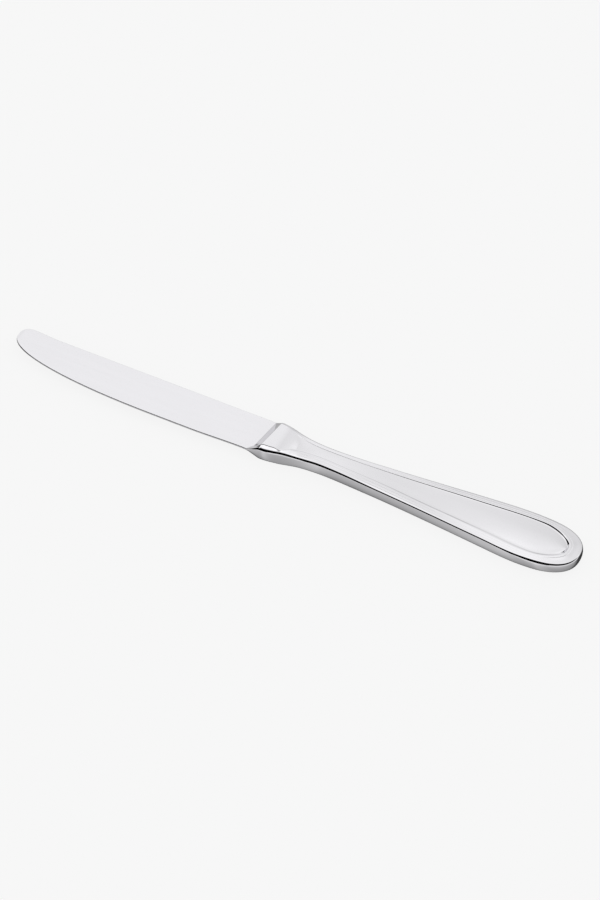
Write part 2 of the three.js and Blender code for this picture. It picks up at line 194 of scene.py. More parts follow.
spine_side = through(
    (MOUTH_X - SPINE_STRAIGHT_TO_MOUTH, SPINE_HALF, 0.0),
    (SHOULDER_X, SHOULDER_SPINE_HALF, -0.09),
    (MOUTH_X, MOUTH_SPINE_HALF, -0.27),
    (NECK_X, NECK_HALF, 0.0),
    (TAPER_START_X, TAPER_START_HALF, TAPER_SLOPE * 0.95),
    (TAPER_END_X, TAPER_END_SPINE_HALF, TAPER_SLOPE * 0.9),
    (WIDEST_X, WIDEST_HALF, 0.0),
)
edge_side = through(
    (MOUTH_X - EDGE_STRAIGHT_TO_MOUTH, EDGE_HALF, 0.0),
    (MOUTH_X - HEEL_TO_MOUTH, HEEL_HALF, 0.0),
    (SHOULDER_X, SHOULDER_EDGE_HALF, -0.05),
    (MOUTH_X, MOUTH_EDGE_HALF, -0.2),
    (NECK_X, NECK_HALF, 0.0),
    (TAPER_START_X, TAPER_START_HALF, TAPER_SLOPE * 0.67),
    (TAPER_END_X, TAPER_END_EDGE_HALF, TAPER_SLOPE * 1.03),
    (WIDEST_X, WIDEST_HALF, 0.0),
)


def from_mouth(*stations):
    return eased_through(*[(MOUTH_X + x, value) for x, value in stations])


# Half thickness at the crest of the border, at places given in millimetres past the handle's mouth
crest_half = from_mouth(
    (-9, 3.16), (-4, 3.16), (5, 2.9), (14, 2.81), (24, 2.74), (43, 2.6), (62, 2.5), (90, 2.38), (106, 2.4),
)

# How far the rim lies under the crest, on the side of the blade's back and on the side of its edge
spine_drop = from_mouth(
    (-9, 0.2), (-3.5, 0.1), (0, 0.15), (3, 0.2), (14, 0.18), (24, 0.2), (43, 0.35), (62, 0.45), (90, 0.43),
    (106, 0.45),
)
edge_drop = from_mouth(
    (-9, 0.14), (-7, 0.3), (-5, 0.27), (-3.5, 0.24), (-2, 0.16), (-0.8, 0.1), (0.6, 0.13), (2.2, 0.22),
    (6, 0.38), (12, 0.24), (21, 0.25), (35, 0.42), (50, 0.35), (63, 0.3), (78, 0.17), (93, 0.17),
    (106, 0.45),
)

# How deep the panel is sunk under the crest, below zero where it stands proud, and how wide its wall is
spine_sink = from_mouth(
    (-9, -0.14), (-4, -0.14), (2, 0.06), (6, 0.08), (24, 0.08), (43, 0.13), (62, 0.18), (84, 0.21),
    (96, 0.42), (106, 0.65),
)
edge_sink = from_mouth(
    (-9, -0.14), (-3.6, -0.14), (0.8, 0.06), (3.5, 0.3), (8, 0.36), (14, 0.25), (21, 0.14), (35, 0.17),
    (50, 0.27), (63, 0.24), (78, 0.11), (90, 0.14), (98, 0.38), (106, 0.65),
)
spine_wall = from_mouth(
    (-1, 0.16), (3, 0.18), (24, 0.22), (43, 0.3), (62, 0.4), (88, 0.45), (104, 0.9),
)
edge_wall = from_mouth(
    (-1, 0.16), (2, 0.6), (6, 0.75), (14, 0.55), (21, 0.45), (35, 0.6), (50, 0.75), (78, 0.75), (90, 0.7),
    (104, 0.9),
)

# How far the panel swells along its middle
panel_crown = from_mouth((50, 0.0), (75, 0.18), (88, 0.3), (106, 0.3))

# The rounding of the rim, and the width of the border from the rim to the wall
rim_radius = from_mouth(
    (-9, 1.3), (-4, 1.3), (-1, 1.2), (6, 1.05), (14, 1.0), (24, 0.85), (37, 0.63), (78, 0.6), (86, 0.8),
    (93, 1.15), (100, 1.0), (106, 0.85),
)
spine_band = from_mouth(
    (-9, 1.0), (-6.5, 1.2), (-3.6, 1.2), (-1, 1.3), (1.5, 1.7), (7, 2.05), (16, 1.95), (31, 2.25), (45, 2.6),
    (59, 2.8), (74, 3.0), (90, 3.0), (106, 4.4),
)
edge_band = from_mouth(
    (-9, 1.1), (-7, 2.0), (-3.6, 1.85), (-1.2, 1.15), (0.3, 1.7), (2, 2.6), (6, 3.0), (14, 3.0), (21, 2.85),
    (35, 3.0), (50, 2.8), (63, 3.0), (78, 3.2), (90, 3.2), (106, 4.4),
)

# How clearly each of the two grooves shows along the handle, and how far the second one moves in at the butt
first_line = from_mouth((1.0, 0.0), (9.0, 1.0), (94, 1.0), (101, 0.0))
second_line = from_mouth((1.0, 0.0), (9.0, 1.0))
second_line_shift = from_mouth((90, 0.0), (104, 0.08))

# Across the border, as shares of its width from the rim in: a place, and how steeply it rises up to there
BORDER = [
    (0.16, 1.4), (0.22, 1.3), (0.28, 1.1), (0.30, 0.8),
    (0.325, -2.2), (0.335, 0.0), (0.352, 4.5), (0.36, 1.1),
    (0.42, 1.1), (0.50, 0.95), (0.57, 0.9), (0.625, 0.9), (0.64, 0.7),
    (0.665, -2.2), (0.675, 0.0), (0.692, 4.5), (0.70, 1.0),
    (0.75, 1.0), (0.80, 0.9), (0.84, 0.7), (0.88, 0.5), (0.94, 0.1), (0.965, -0.4),
]

# The shares that the table runs over, the share that parts the two grooves, and the rise where neither shows
BORDER_SPAN = (0.1, 1.0)
GROOVES_PART = 0.5
PLAIN_RISE = 0.6

# Places across the border, and how much of the second groove's shift each takes
SHIFT_FROM = (0.1, 0.36, 0.67, 0.965)
SHIFT_SHARES = (0.0, 0.0, 1.0, 0.0)

# The profile's point at the top of the lip
RIM_POINT = FLANK_STEPS + LIP_STEPS

# Down the wall of the panel: a share of its width, and the share of its depth reached there
WALL = [(0.1, 0.03), (0.25, 0.16), (0.4, 0.36), (0.55, 0.6), (0.7, 0.8), (0.85, 0.94), (1.0, 1.0)]


def slant(side, x):
    """How much longer a step square to the outline is than a step across the knife."""
    step = 0.25
    return math.hypot(1.0, (side(x + step) - side(x - step)) / (2 * step))


def blade_back(x):
    from_tip = x - TIP_X
    top = spine_side(x) + NOSE_RISE * (1 - smooth((from_tip - NOSE_LENGTH) / NOSE_RISE_LENGTH))
    if from_tip >= NOSE_LENGTH:
        return top
    left = clamp(1 - (from_tip + NOSE_FLAT) / NOSE_LENGTH)
    return NOSE_Y + (top - NOSE_Y) * (1 - left**NOSE_CURVE) ** (1 / NOSE_CURVE)


def blade_belly(x):
    left = clamp(1 - (x - TIP_X + NOSE_FLAT) / BELLY_LENGTH)
    return NOSE_Y - (NOSE_Y + edge_side(x)) * (1 - left**BELLY_CURVE) ** BELLY_TIP


def lip_points(rim, radius):
    """The flank from the seam up, and the rounded lip over it."""
    steep = math.pi / 2 - FLANK_LEAN
    flank = rim - radius * (math.cos(LIP_TILT) - math.cos(steep))
    points = [(SIDE_BULGE * t * t, flank * t) for t in np.arange(FLANK_STEPS + 1) / FLANK_STEPS]
    for t in np.arange(1, LIP_STEPS + 1) / LIP_STEPS:
        tilt = mix(steep, LIP_TILT, t)
        inward = SIDE_BULGE + radius * (math.sin(steep) - math.sin(tilt))
        points.append((inward, flank + radius * (math.cos(tilt) - math.cos(steep))))
    return points


def border_points(x, start):
    """Places across the border, as shares of its width, and the rise reached at each."""
    low, high = BORDER_SPAN
    moved = np.array(SHIFT_FROM) + float(second_line_shift(x)) * np.array(SHIFT_SHARES)
    shares, rises, at, height = [], [], start, 0.0
    for place, rise in BORDER:
        line = first_line(x) if place < GROOVES_PART else second_line(x)
        share = start + (1 - start) * (np.interp(place, SHIFT_FROM, moved) - low) / (high - low)
        height += mix(PLAIN_RISE, rise, line) * (share - at)
        shares.append(share)
        rises.append(height)
        at = share
    return shares, rises


def border_profile(x, side):
    """Distance in from the outline and height above the mid-plane, from the seam to the panel."""
    sizes = (edge_band, edge_drop, edge_sink, edge_wall)
    if side > 0:
        sizes = (spine_band, spine_drop, spine_sink, spine_wall)
    band, drop, sink, wall = [size(x) for size in sizes]
    crest, radius = crest_half(x), rim_radius(x)
    rim = crest - drop
    points = lip_points(rim, radius)
    lip = radius * (math.cos(FLANK_LEAN) - math.sin(LIP_TILT))
    shares, rises = border_points(x, lip / band)
    for share, rise in zip(shares, rises):
        points.append((SIDE_BULGE + band * share, rim + drop * rise / rises[-1]))
    for share, fall in WALL:
        points.append((SIDE_BULGE + band * shares[-1] + wall * share, crest - sink * fall))
    return np.array(points)


def insetted(profile, inset):
    """The same profile as the inside of a wall of that thickness."""
    if not inset:
        return profile
    inner = profile.copy()
    rim = profile[RIM_POINT, 1]
    inner[:, 0] += inset
    inner[:RIM_POINT, 1] *= (rim - inset) / rim
    inner[RIM_POINT:, 1] -= inset
    return inner


def panel_row(spine_foot, edge_foot, crown):
    row = []
    for share in np.arange(1, PANEL_STEPS) / PANEL_STEPS:
        point = mix(np.array(spine_foot), np.array(edge_foot), share)
        point[2] += crown * (1 - (2 * share - 1) ** 2)
        row.append(tuple(point))
    return row


# Steps of modelling that every piece takes
def select_only(*pieces):
    """Selects the pieces and nothing else, with the last one active."""
    bpy.ops.object.select_all(action="DESELECT")
    for piece in pieces:
        piece.select_set(True)
    bpy.context.view_layer.objects.active = pieces[-1]


def edit(piece):
    select_only(piece)
    bpy.ops.object.mode_set(mode="EDIT")
    bpy.ops.mesh.select_all(action="SELECT")


def select_open_edges():
    bpy.ops.mesh.select_all(action="DESELECT")
    bpy.ops.mesh.select_mode(type="EDGE")
    bpy.ops.mesh.select_non_manifold()


def face_outwards():
    bpy.ops.mesh.select_all(action="SELECT")
    bpy.ops.mesh.normals_make_consistent(inside=False)


def leave():
    bpy.ops.object.mode_set(mode="OBJECT")


def laid_grid(name, rows):
    """A grid primitive laid on rows of points in millimetres, with points that meet joined."""
    bpy.ops.object.select_all(action="DESELECT")
    rows = np.array(rows, float)
    along, across = rows.shape[:2]
    bpy.ops.mesh.primitive_grid_add(x_subdivisions=across - 1, y_subdivisions=along - 1, size=1.0)
    piece = bpy.context.object
    piece.name = name
    piece.data.name = name
    piece.data.vertices.foreach_set("co", (rows * MM).ravel())
    piece.data.update()
    edit(piece)
    bpy.ops.mesh.remove_doubles(threshold=JOIN_DISTANCE * MM)
    leave()
    return piece


def finish_piece(piece, material):
    select_only(piece)
    bpy.ops.object.shade_smooth_by_angle(angle=SHARP_ANGLE)
    piece.data.materials.clear()
    piece.data.materials.append(material)
    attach(piece, "root")


# The skin of the handle: rows across it from the mouth to the butt, where the two sides meet
def outline_places():
    to_neck = np.linspace(MOUTH_X, NECK_X, MOUTH_ROWS)[:-1]
    along = np.concatenate([to_neck, np.linspace(NECK_X, WIDEST_X, TAPER_ROWS)])
    places = [(x, float(spine_side(x)), float(edge_side(x)), 0.0) for x in along]
    for i in range(1, BUTT_ROWS + 1):
        turn = i / BUTT_ROWS * math.pi / 2
        x = WIDEST_X + (BUTT_X - WIDEST_X) * math.sin(turn) ** (2 / BUTT_CURVE)
        half = 0.0 if i == BUTT_ROWS else WIDEST_HALF * math.cos(turn) ** (2 / BUTT_CURVE)
        places.append((x, half, half, turn))
    return places


def shifted_in(place, inward, side):
    """A point of the outline moved in square to it: across the knife, or towards the butt's middle."""
    x, spine, edge, turn = place
    half, outline = (spine, spine_side) if side > 0 else (edge, edge_side)
    if turn == 0.0:
        return x, side * (half - inward * slant(outline, x))
    along = math.sin(turn) ** (2 - 2 / BUTT_CURVE) / (BUTT_X - WIDEST_X)
    out = abs(math.cos(turn)) ** (2 - 2 / BUTT_CURVE) / WIDEST_HALF
    length = math.hypot(along, out)
    return x - inward * along / length, side * (half - inward * out / length)


def skin_rows(face, inset):
    rows = []
    for place in outline_places():
        x = place[0]
        sides = []
        for side in (1, -1):
            profile = insetted(border_profile(x, side), inset)
            sides.append([(*shifted_in(place, inward, side), height) for inward, height in profile])
        spine, edge = sides
        row = np.array(spine + panel_row(spine[-1], edge[-1], panel_crown(x)) + edge[::-1])
        row[:, 2] = MID_Z + face * row[:, 2]
        rows.append(row)
    return rows


def handle_shell(name, face, material):
    """One shell, with an even wall: an outer and an inner skin, bridged at the seam and the mouth."""
    piece = laid_grid(name, skin_rows(face, 0.0))
    inner = laid_grid(name + "_inside", skin_rows(face, SHELL_WALL))
    select_only(inner, piece)
    bpy.ops.object.join()
    edit(piece)
    select_open_edges()
    bpy.ops.mesh.bridge_edge_loops()
    face_outwards()
    leave()
    finish_piece(piece, material)
    return piece


# The blade and its bolster: rings round it from the nose to the tang's end
def bolster_section(x, inset=0.0):
    """Places across and heights of the bolster's upper side, from the back to the edge side."""
    sides = []
    for side, outline in ((1, spine_side), (-1, edge_side)):
        half, square = outline(x), slant(outline, x)
        profile = insetted(border_profile(x, side), inset)
        sides.append([(0.0, side * (half - inward * square), height) for inward, height in profile])
    spine, edge = sides
    return np.array(spine + panel_row(spine[-1], edge[-1], 0.0) + edge[::-1])[:, 1:]


def blade_half(x, y, back, belly):
    back_half = mix(BLADE_NOSE_HALF, BLADE_BACK_HALF, clamp((x - TIP_X) / (RAMP_X - TIP_X)))
    share = clamp((y - belly) / max(back - belly, BEVEL_WIDTH))
    wedge = mix((BLADE_EDGE_HALF + back_half) / 2, back_half, share)
    bevel = clamp(np.minimum(y - belly, x - TIP_X) / BEVEL_WIDTH)
    return mix(BLADE_EDGE_HALF, wedge, smooth(bevel))


def eased(t, ease):
    """A straight rise from 0 to 1 with short rounded ends."""
    t = clamp(t)
    low = t * t / (2 * ease)
    high = (1 - ease) - (1 - t) ** 2 / (2 * ease)
    straight = t - ease / 2
    return np.where(t < ease, low, np.where(t > 1 - ease, high, straight)) / (1 - ease)


def ramp_rise(x, y):
    """How far the slanted ramp has risen, with its curl on the side of the edge."""
    across = (y + edge_side(x)) / (spine_side(x) + edge_side(x))
    curl = clamp(1 - (y + edge_side(x)) / CURL_WIDTH) ** CURL_FADE
    foot = RAMP_X - RAMP_SKEW * (1 - across) - CURL_REACH * curl
    return eased((x - foot) / (RAMP_LENGTH + CURL_LENGTH * curl), RAMP_EASE + CURL_EASE * curl)


def rounded_off(height, depths, radius):
    """Heights brought down to nothing in a quarter round at each end."""
    for depth in depths:
        height = height * np.sqrt(np.maximum(0.0, 1 - (1 - clamp(depth / radius)) ** 2))
    return height


def spread_shares(count):
    """Shares from 1 at the back to 0 at the edge, closer together near both."""
    spread = np.linspace(-1, 1, count)
    return (1 - np.sign(spread) * (1 - (1 - np.abs(spread)) ** SPREAD_POWER)) / 2


def ring(x, across, height):
    """A closed ring from its upper side, with the lower side as its mirror image."""
    upper = np.stack([np.full(len(across), x), across, MID_Z + height], axis=1)
    lower = upper[1:-1][::-1].copy()
    lower[:, 2] = 2 * MID_Z - lower[:, 2]
    return np.vstack([upper, lower, upper[:1]])


def blade_ring(x):
    body = bolster_section(x)
    back, belly = float(blade_back(x)), float(blade_belly(x))
    plain = mix(belly, back, spread_shares(len(body)))
    on_body = smooth((x - RAMP_X + CURL_LENGTH + RAMP_SKEW) / (CURL_LENGTH + RAMP_SKEW))
    y = mix(plain, body[:, 0], on_body)
    flat = rounded_off(blade_half(x, y, back, belly), (y - y[-1], y[0] - y), BLADE_EDGE_ROUND)
    return ring(x, y, mix(flat, body[:, 1], ramp_rise(x, y)))


def spigot_ring(x):
    """The bolster's section, drawn in to leave room for the shells' wall and the braze."""
    section = bolster_section(x, SPIGOT_INSET)
    return ring(x, section[:, 0], section[:, 1])


def tang_ring(x, count):
    along = x - MOUTH_X
    half = mix(TANG_HALF_WIDTH, TANG_END_HALF_WIDTH, clamp(along / TANG_LENGTH))
    notch = max(smooth(1 - abs(along - SPIGOT_LENGTH - place) / NOTCH_HALF_LENGTH) for place in NOTCH_PLACES)
    left = clamp(1 - (TANG_LENGTH - along) / TANG_NOSE)
    half = (half - NOTCH_DEPTH * notch) * math.sqrt(1 - (left * (1 - TANG_NOSE / TANG_LENGTH)) ** 2)
    across = mix(-half, half, spread_shares(count))
    height = rounded_off(np.full(count, TANG_HALF_THICKNESS), (half - across, half + across), TANG_ROUND)
    return ring(x, across, height)


def forged_blade(material):
    """Blade, bolster, spigot and tang in one forging."""
    nose_start = TIP_X + NOSE_LENGTH
    curl_start = RAMP_X - CURL_LENGTH - RAMP_SKEW - RINGS_BEFORE_CURL
    spigot_end = MOUTH_X + SPIGOT_LENGTH
    tang_end = MOUTH_X + TANG_LENGTH
    places = [mix(nose_start, TIP_X, math.cos(t)) for t in np.linspace(0, math.pi / 2, NOSE_RINGS)[:-1]]
    places += list(np.linspace(nose_start, curl_start, BLADE_RINGS)[:-1])
    places += list(np.linspace(curl_start, MOUTH_X, BOLSTER_RINGS))
    tang_places = list(np.linspace(spigot_end, tang_end - TANG_NOSE, TANG_RINGS)[:-1])
    tang_places += [tang_end - TANG_NOSE * math.cos(t) for t in np.linspace(0, math.pi / 2, TANG_NOSE_RINGS)]
    count = len(bolster_section(MOUTH_X))
    rings = [blade_ring(x) for x in places]
    rings += [spigot_ring(x) for x in np.linspace(MOUTH_X, spigot_end, SPIGOT_RINGS)]
    rings += [tang_ring(x, count) for x in tang_places]
    piece = laid_grid("blade_forging", rings)
    edit(piece)
    select_open_edges()
    bpy.ops.mesh.edge_face_add()
    face_outwards()
    leave()
    finish_piece(piece, material)
    return piece


# Helpers for materials
def new_material(name):
    material = bpy.data.materials.new(name)
    material.use_nodes = True
    return material, material.node_tree, material.node_tree.nodes["Principled BSDF"]


def add_node(tree, kind, **values):
    """A new node with its settings, and its sockets' values given by their names with underscores."""
    node = tree.nodes.new(kind)
    for key, value in values.items():
        if hasattr(node, key):
            setattr(node, key, value)
        else:
            node.inputs[key.replace("_", " ")].default_value = value
    return node


def new_group(name, inputs, outputs):
    group = bpy.data.node_groups.new(name, "ShaderNodeTree")
    for label, kind, value in inputs:
        socket = group.interface.new_socket(label, in_out="INPUT", socket_type=kind)
        socket.default_value = value
    for label, kind in outputs:
        group.interface.new_socket(label, in_out="OUTPUT", socket_type=kind)
    entry = group.nodes.new("NodeGroupInput")
    leaving = group.nodes.new("NodeGroupOutput")
    return group, entry, leaving


def ranged(tree, value, spread):
    """A value from 0 to 1 spread from low to high."""
    low, high = spread
    span = add_node(tree, "ShaderNodeMapRange", To_Min=low, To_Max=high)
    tree.links.new(value, span.inputs["Value"])
    return span.outputs["Result"]


def product(tree, first, second):
    node = add_node(tree, "ShaderNodeMath", operation="MULTIPLY")
    tree.links.new(first, node.inputs[0])
    tree.links.new(second, node.inputs[1])
    return node.outputs["Value"]


def toned(tree, color, value):
    node = add_node(tree, "ShaderNodeVectorMath", operation="SCALE")
    node.inputs[0].default_value = color
    tree.links.new(value, node.inputs["Scale"])
    return node.outputs["Vector"]


# Polished steel: how far hairlines, wipe marks and smudges change its gloss and its tone
HAIRLINE_GLOSS = (0.75, 1.25)
WIPE_GLOSS = (0.85, 1.15)
SMUDGE_GLOSS = (0.8, 1.3)
WIPE_TONE = (0.975, 1.02)
SMUDGE_TONE = (0.99, 1.01)
WIPE_TURN = (0.0, 0.0, math.radians(8))
WIPE_STRETCH = (30.0, 420.0, 420.0)
SMUDGE_SCALE = 45.0
HAIRLINE_RELIEF = 0.00002


def polish_marks():
    """Hairlines along the knife, faint wipe marks and soft smudges, as a roughness, a tone and a normal."""
    group, entry, leaving = new_group(
        "polish_marks",
        [
            ("Roughness", "NodeSocketFloat", 0.06),
            ("Lines", "NodeSocketVector", (200.0, 9000.0, 9000.0)),
            ("Depth", "NodeSocketFloat", 0.02),
        ],
        [("Roughness", "NodeSocketFloat"), ("Tone", "NodeSocketFloat"), ("Normal", "NodeSocketVector")],
    )
    place = add_node(group, "ShaderNodeTexCoord").outputs["Object"]
    stretched = add_node(group, "ShaderNodeVectorMath", operation="MULTIPLY")
    group.links.new(place, stretched.inputs[0])
    group.links.new(entry.outputs["Lines"], stretched.inputs[1])
    hairlines = add_node(group, "ShaderNodeTexNoise", Scale=1.0, Detail=4.0, Roughness=0.6)
    group.links.new(stretched.outputs["Vector"], hairlines.inputs["Vector"])
    wiped = add_node(group, "ShaderNodeMapping", Rotation=WIPE_TURN, Scale=WIPE_STRETCH)
    group.links.new(place, wiped.inputs["Vector"])
    wipes = add_node(group, "ShaderNodeTexNoise", Scale=1.0, Detail=3.0, Roughness=0.5, Distortion=0.4)
    group.links.new(wiped.outputs["Vector"], wipes.inputs["Vector"])
    smudges = add_node(group, "ShaderNodeTexNoise", Scale=SMUDGE_SCALE, Detail=2.0)
    group.links.new(place, smudges.inputs["Vector"])
    line, wipe, smudge = [marks.outputs["Fac"] for marks in (hairlines, wipes, smudges)]
    fine = product(group, entry.outputs["Roughness"], ranged(group, line, HAIRLINE_GLOSS))
    wide = product(group, ranged(group, wipe, WIPE_GLOSS), ranged(group, smudge, SMUDGE_GLOSS))
    group.links.new(product(group, fine, wide), leaving.inputs["Roughness"])
    tone = product(group, ranged(group, wipe, WIPE_TONE), ranged(group, smudge, SMUDGE_TONE))
    group.links.new(tone, leaving.inputs["Tone"])
    bump = add_node(group, "ShaderNodeBump", Distance=HAIRLINE_RELIEF)
    group.links.new(entry.outputs["Depth"], bump.inputs["Strength"])
    group.links.new(line, bump.inputs["Height"])
    group.links.new(bump.outputs["Normal"], leaving.inputs["Normal"])
    return group


def polished_steel(name, marks, color, roughness, lines, depth):
    """Bright steel, with the polisher's marks laid over it."""
    material, tree, shader = new_material(name)
    shader.inputs["Metallic"].default_value = 1.0
    polish = tree.nodes.new("ShaderNodeGroup")
    polish.node_tree = marks
    polish.inputs["Roughness"].default_value = roughness
    polish.inputs["Lines"].default_value = lines
    polish.inputs["Depth"].default_value = depth
    tree.links.new(toned(tree, color, polish.outputs["Tone"]), shader.inputs["Base Color"])
    tree.links.new(polish.outputs["Roughness"], shader.inputs["Roughness"])
    tree.links.new(polish.outputs["Normal"], shader.inputs["Normal"])
    return material


# Braze and cement: how their pores compare with their grain, and how far the pores change their gloss
PORE_SCALE = 0.35
PORE_GLOSS = (0.85, 1.15)
GRAIN_RELIEF = 0.0001


def grained(name, color, dark, metallic, roughness, grain, depth):
    """A dull stuff of two tones, with a fine grain."""
    material, tree, shader = new_material(name)
    shader.inputs["Metallic"].default_value = metallic
    place = add_node(tree, "ShaderNodeTexCoord").outputs["Object"]
    specks = add_node(tree, "ShaderNodeTexNoise", Scale=grain, Detail=6.0, Roughness=0.7)
    pores = add_node(tree, "ShaderNodeTexVoronoi", Scale=grain * PORE_SCALE)
    for texture in (specks, pores):
        tree.links.new(place, texture.inputs["Vector"])
    tones = add_node(tree, "ShaderNodeMix", data_type="RGBA")
    tones.inputs["A"].default_value = (*dark, 1.0)
    tones.inputs["B"].default_value = (*color, 1.0)
    tree.links.new(specks.outputs["Fac"], tones.inputs["Factor"])
    tree.links.new(tones.outputs["Result"], shader.inputs["Base Color"])
    gloss = [min(1.0, roughness * share) for share in PORE_GLOSS]
    tree.links.new(ranged(tree, pores.outputs["Distance"], gloss), shader.inputs["Roughness"])
    bump = add_node(tree, "ShaderNodeBump", Strength=depth, Distance=GRAIN_RELIEF)
    tree.links.new(product(tree, specks.outputs["Fac"], pores.outputs["Distance"]), bump.inputs["Height"])
    tree.links.new(bump.outputs["Normal"], shader.inputs["Normal"])
    return material


steel_marks = polish_marks()
blade_steel = polished_steel(
    "polished_blade_steel", steel_marks,
    color=(0.873, 0.866, 0.892), roughness=0.055, lines=(150.0, 9000.0, 9000.0), depth=0.02,
)
handle_steel = polished_steel(
    "polished_handle_steel", steel_marks,
    color=(0.88, 0.873, 0.897), roughness=0.06, lines=(260.0, 7000.0, 7000.0), depth=0.02,
)
braze_metal = grained(
    "braze_metal",
    color=(0.82, 0.72, 0.42), dark=(0.62, 0.5, 0.26), metallic=1.0, roughness=0.42, grain=2500.0, depth=0.5,
)
cement = grained(
    "handle_cement",
    color=(0.76, 0.74, 0.69), dark=(0.55, 0.53, 0.48), metallic=0.0, roughness=0.9, grain=1800.0, depth=0.8,
)

# The pieces that are dressed, and the two hidden ones that are carried over with a material of their own
blade = forged_blade(blade_steel)
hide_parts("blade")
front_shell = handle_shell("handle_front_skin", 1, handle_steel)
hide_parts("handle_front_shell")
back_shell = handle_shell("handle_back_skin", -1, handle_steel)
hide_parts("handle_back_shell")
for node, material in (("mouth_braze", braze_metal), ("handle_filler", cement)):
    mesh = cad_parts[node].data
    mesh.materials.clear()
    mesh.materials.append(material)

# The camera, at the photograph's angle
CAMERA_AZIMUTH = math.radians(26.9)
CAMERA_ELEVATION = math.radians(48.6)
CAMERA_DISTANCE = 1.5
CAMERA_TARGET = Vector((4.1, -1.15, 5.7)) * MM
LENS_LENGTH = 180.6
SENSOR_WIDTH = 36.0
NEARWARDS = (math.sin(CAMERA_AZIMUTH), -math.cos(CAMERA_AZIMUTH), 0.0)
RIGHTWARDS = (math.cos(CAMERA_AZIMUTH), math.sin(CAMERA_AZIMUTH), 0.0)


def photo_camera():
    across, along, _ = [part * math.cos(CAMERA_ELEVATION) for part in NEARWARDS]
    away = Vector((across, along, math.sin(CAMERA_ELEVATION)))
    lens = bpy.data.cameras.new("photo_camera")
    lens.lens = LENS_LENGTH
    lens.sensor_width = SENSOR_WIDTH
    camera = bpy.data.objects.new("photo_camera", lens)
    bpy.context.collection.objects.link(camera)
    camera.location = CAMERA_TARGET + away * CAMERA_DISTANCE
    camera.rotation_mode = "QUATERNION"
    camera.rotation_quaternion = (-away).to_track_quat("-Z", "Y")
    return camera


# The floor, which the polished steel doesn't mirror: that is left to the light tent
FLOOR_SIZE = 6.0
FLOOR_TONE = 0.06
FLOOR_GLOW = 0.87


def pale_floor():
    bpy.ops.object.select_all(action="DESELECT")
    bpy.ops.mesh.primitive_plane_add(size=FLOOR_SIZE)
    floor = bpy.context.object
    floor.name = "pale_floor"
    paint, _, shader = new_material("pale_floor")
    shader.inputs["Base Color"].default_value = (FLOOR_TONE, FLOOR_TONE, FLOOR_TONE, 1.0)
    shader.inputs["Roughness"].default_value = 1.0
    shader.inputs["Specular IOR Level"].default_value = 0.0
    shader.inputs["Emission Color"].default_value = (1.0, 1.0, 1.0, 1.0)
    shader.inputs["Emission Strength"].default_value = FLOOR_GLOW
    floor.data.materials.append(paint)
    floor.visible_glossy = False
    return floor


def studio_light():
    """Plain soft light from all round."""
    world = bpy.data.worlds.new("studio")
    bpy.context.scene.world = world
    world.use_nodes = True
    background = world.node_tree.nodes["Background"]
    background.inputs["Color"].default_value = (1.0, 1.0, 1.0, 1.0)
    background.inputs["Strength"].default_value = 1.0


# The light tent that the steel mirrors, a sphere of cloth round the knife
TENT_RADIUS = 0.5
HALF_TURN = 180

# Light by degrees from straight up to straight down, with the side away from the camera as minus
# Below the level on either side the light falls off towards straight down: painted shade that stands for the
# pale floor darkened round the knife
LOWER_BANDS = [(-180, 0.12), (-170, 0.08), (-138, 0.06), (-128, 0.28), (-120, 0.46), (-108, 0.53)]
UPPER_BANDS = [
    (-100, 0.55), (-88, 0.59), (-78, 0.65), (-70, 0.76), (-60, 0.87), (-50, 0.89), (-41, 0.9), (-30, 0.9),
    (-22, 0.9), (-17, 0.98), (-12, 1.12), (-6, 1.12), (0, 0.75), (7, 0.25), (12, 0.03), (16, 0.0), (78, 0.0),
    (86, 1.0), (104, 1.0), (112, 0.85), (126, 0.66), (150, 0.53), (164, 0.4), (172, 0.24), (180, 0.12),
]

# How the light changes along the knife: far side, overhead, near side, and under the knife's level
FAR_ALONG = [
    (-0.3, 1.0), (-0.2, 1.03), (-0.165, 1.1), (-0.14, 1.13), (-0.115, 1.08), (-0.098, 0.97), (-0.083, 0.9),
    (-0.05, 0.88),
]
TOP_ALONG = [
    (-0.17, 1.06), (-0.13, 1.01), (-0.113, 0.985), (-0.098, 0.93), (-0.083, 0.925), (-0.068, 0.95),
    (-0.05, 0.93), (0.12, 0.8),
]
NEAR_ALONG = [
    (-0.17, 1.06), (-0.13, 0.98), (-0.113, 0.93), (-0.092, 0.93), (-0.075, 1.05), (-0.05, 1.14), (0.12, 0.9),
]
LOW_ALONG = [
    (-0.18, 0.85), (-0.165, 0.8), (-0.15, 0.8), (-0.13, 0.9), (-0.115, 1.0), (-0.085, 0.92), (-0.05, 0.76),
    (-0.02, 0.68), (0.03, 0.7), (0.07, 0.85), (0.2, 0.6),
]

# Where one of those gives way to the next, in degrees and then in height
FAR_TO_TOP = [(-60, 0.0), (-44, 1.0)]
TOP_TO_NEAR = [(-40, 0.0), (-28, 1.0)]
LOW_LEVEL = -0.15
HIGH_LEVEL = 0.05

# A dark gap at the left, past the blade's tip: along each measure, 0 is in the gap and 1 is out of it
LEFT_GAP = {
    "right": [(-0.285, 0.0), (-0.255, 1.0)],
    "height": [(-0.06, 1.0), (-0.03, 0.0), (0.28, 0.0), (0.32, 1.0)],
    "near": [(-0.33, 1.0), (-0.29, 0.0)],
}

# A second dark gap, at the far left, which the wall at the butt's end of the panel mirrors
END_WALL_GAP = {
    "height": [(-0.06, 1.0), (-0.03, 0.0), (0.2, 0.0), (0.24, 1.0)],
    "across": [(0.32, 0.0), (0.34, 1.0)],
    "right": [(-0.1, 0.0), (-0.07, 1.0)],
    "along": [(-0.345, 1.0), (-0.32, 0.0)],
    "near": [(-0.15, 0.0), (-0.1, 1.0)],
}

